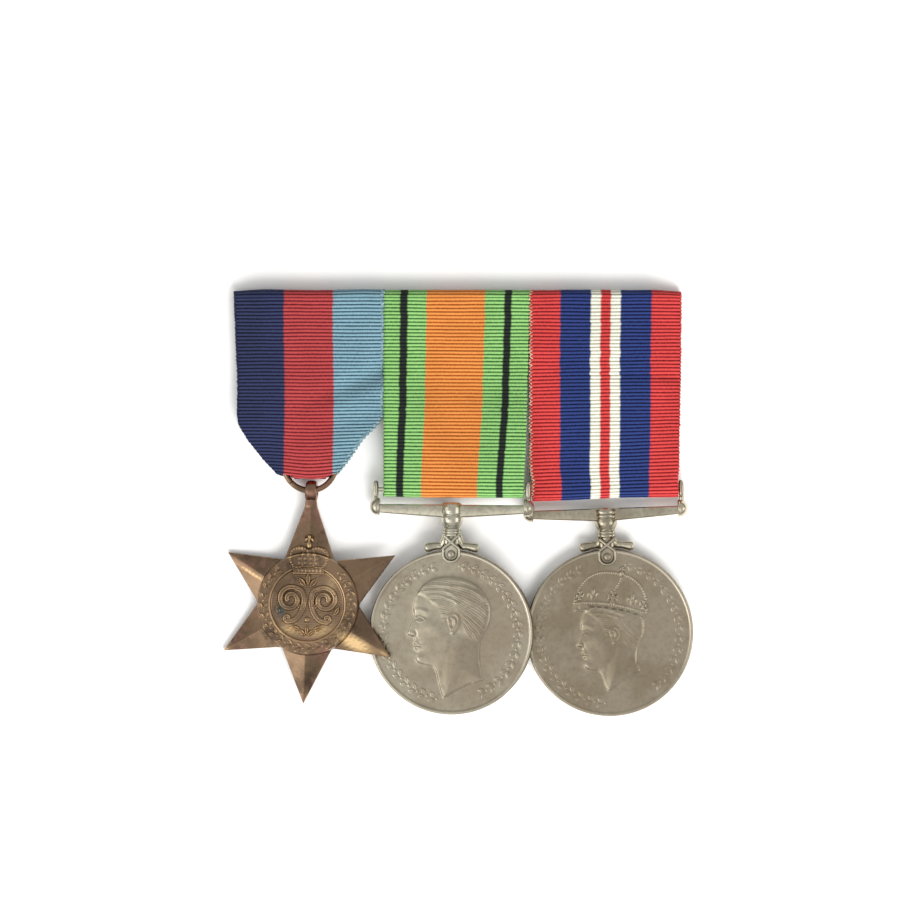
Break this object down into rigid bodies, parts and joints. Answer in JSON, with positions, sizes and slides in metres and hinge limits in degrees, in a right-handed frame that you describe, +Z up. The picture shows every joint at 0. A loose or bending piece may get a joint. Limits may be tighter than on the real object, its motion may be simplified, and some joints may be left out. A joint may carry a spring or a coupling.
{
  "type": "mounted medal group",
  "caption": "Row of court-style medals lying face up: a ridged star on a jump ring and round discs with heads in relief, on striped ribbons sewn over a hidden brooch.",
  "frame": {"origin": "bottom centre of the group's box, on the surface that the medals lie on", "axes": "+X along the row from the star to the last disc, +Y from the medals towards the ribbons' top edge, +Z up out of the medals' faces"},
  "size_m": [0.1022, 0.0927, 0.008],
  "materials": {
    "ribbon_1": "ribbed watered silk, navy, red and light blue bands",
    "ribbon_2": "ribbed watered silk, orange middle with black and green bands",
    "ribbon_3": "ribbed watered silk, red, blue and white bands",
    "bronze": "tarnished yellow bronze, brown in the hollows and bright on the ridges",
    "nickel_alloy_2": "worn nickel alloy, grey with warm olive tarnish",
    "nickel_alloy_3": "worn nickel alloy, darker and browner tarnish",
    "brooch_metal": "plain dull metal, hidden behind the ribbons"
  },
  "bodies": {
    "root": {"ribbon_1": "ribbon_1", "ribbon_2": "ribbon_2", "ribbon_3": "ribbon_3", "star_ring": "bronze", "star": "bronze", "disc_2": "nickel_alloy_2", "suspender_2": "nickel_alloy_2", "rivet_2": "nickel_alloy_2", "disc_3": "nickel_alloy_3", "suspender_3": "nickel_alloy_3", "rivet_3": "nickel_alloy_3", "brooch": "brooch_metal"}
  },
  "joints": []
}
